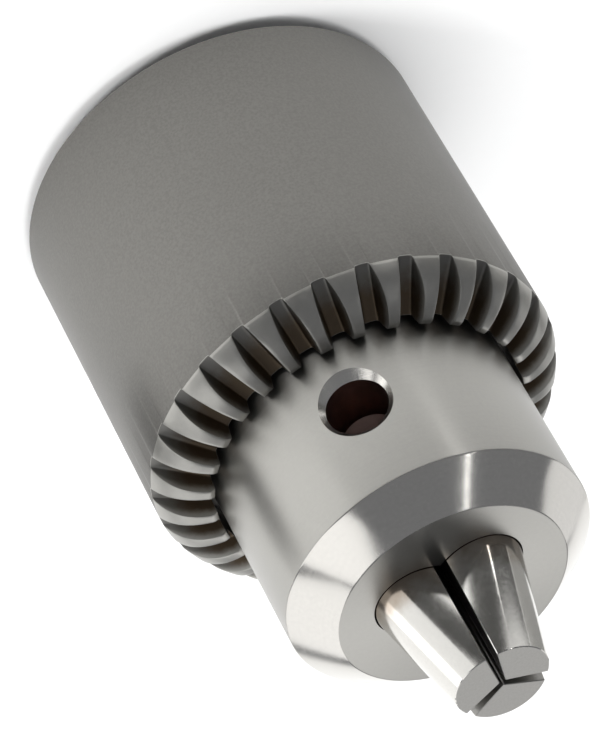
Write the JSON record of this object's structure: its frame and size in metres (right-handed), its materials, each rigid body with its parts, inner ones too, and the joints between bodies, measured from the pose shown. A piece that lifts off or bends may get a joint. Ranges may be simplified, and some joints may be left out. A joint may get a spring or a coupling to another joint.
{
  "type": "keyed drill chuck",
  "caption": "Keyed drill chuck with a bevel-geared turning sleeve, split nut, slanted sliding jaws, key pilot holes and a threaded spindle socket.",
  "frame": {"origin": "centre of the body's rear face, where the spindle's shoulder seats", "axes": "+Z along the chuck's axis towards the jaws; -Y through one key pilot hole"},
  "size_m": [0.03, 0.03, 0.0502],
  "materials": {
    "body_steel": "turned satin stainless steel",
    "sleeve_steel": "fine bead-blasted stainless steel",
    "nut_steel": "machined steel, lightly oiled",
    "jaw_steel": "ground hardened steel"
  },
  "bodies": {
    "chuck_body": {"body": "body_steel"},
    "turning_sleeve": {"sleeve": "sleeve_steel", "nut_half_1": "nut_steel", "nut_half_2": "nut_steel"},
    "first_jaw": {"jaw_1": "jaw_steel"},
    "second_jaw": {"jaw_2": "jaw_steel"},
    "third_jaw": {"jaw_3": "jaw_steel"}
  },
  "joints": [
    {"name": "sleeve_turn", "type": "hinge", "parent": "chuck_body", "child": "turning_sleeve", "pos_m": [0, 0, 0], "axis": [0, 0, 1], "range_deg": [0, 2880]},
    {"name": "jaw_1_slide", "type": "slide", "parent": "chuck_body", "child": "first_jaw", "axis": [0.2387, -0.1378, -0.9613], "range_m": [0, 0.01016]},
    {"name": "jaw_2_slide", "type": "slide", "parent": "chuck_body", "child": "second_jaw", "axis": [0, 0.2756, -0.9613], "range_m": [0, 0.01016]},
    {"name": "jaw_3_slide", "type": "slide", "parent": "chuck_body", "child": "third_jaw", "axis": [-0.2387, -0.1378, -0.9613], "range_m": [0, 0.01016]}
  ],
  "couplings": [
    {"joint": "jaw_1_slide", "follows": "sleeve_turn", "m_per_rad": 0.00020213},
    {"joint": "jaw_2_slide", "follows": "sleeve_turn", "m_per_rad": 0.00020213},
    {"joint": "jaw_3_slide", "follows": "sleeve_turn", "m_per_rad": 0.00020213}
  ]
}
